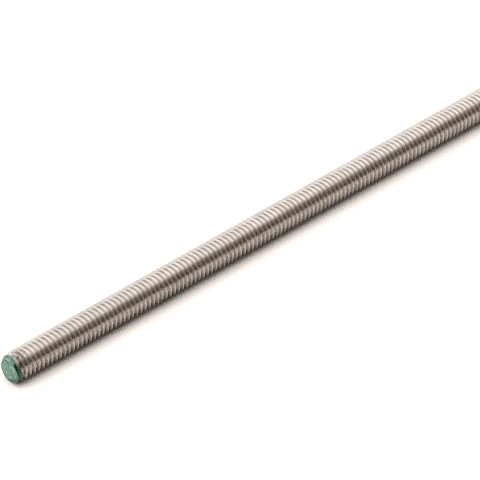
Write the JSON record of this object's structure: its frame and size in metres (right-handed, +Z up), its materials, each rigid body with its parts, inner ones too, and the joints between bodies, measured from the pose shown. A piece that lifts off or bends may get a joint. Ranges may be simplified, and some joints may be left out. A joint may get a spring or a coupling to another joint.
{
  "type": "threaded rod",
  "caption": "Straight fully threaded metric steel rod with chamfered ends, one end coated with green paint, for joining, hanging or clamping parts with nuts.",
  "frame": {"origin": "centre of the rod's length, on its axis", "axes": "+X along the rod towards its plain end, so the painted end is at -X; +Z up when the rod lies on a level surface"},
  "size_m": [0.15, 0.0058, 0.0058],
  "materials": {
    "steel": "dull rolled stainless steel thread, slightly warm grey, with fine rolling marks along the turns",
    "end_paint": "thin hand-applied sea-green marking paint, uneven, over the end face, chamfer and first part turn"
  },
  "bodies": {
    "root": {"threaded_rod": "steel"}
  },
  "joints": []
}
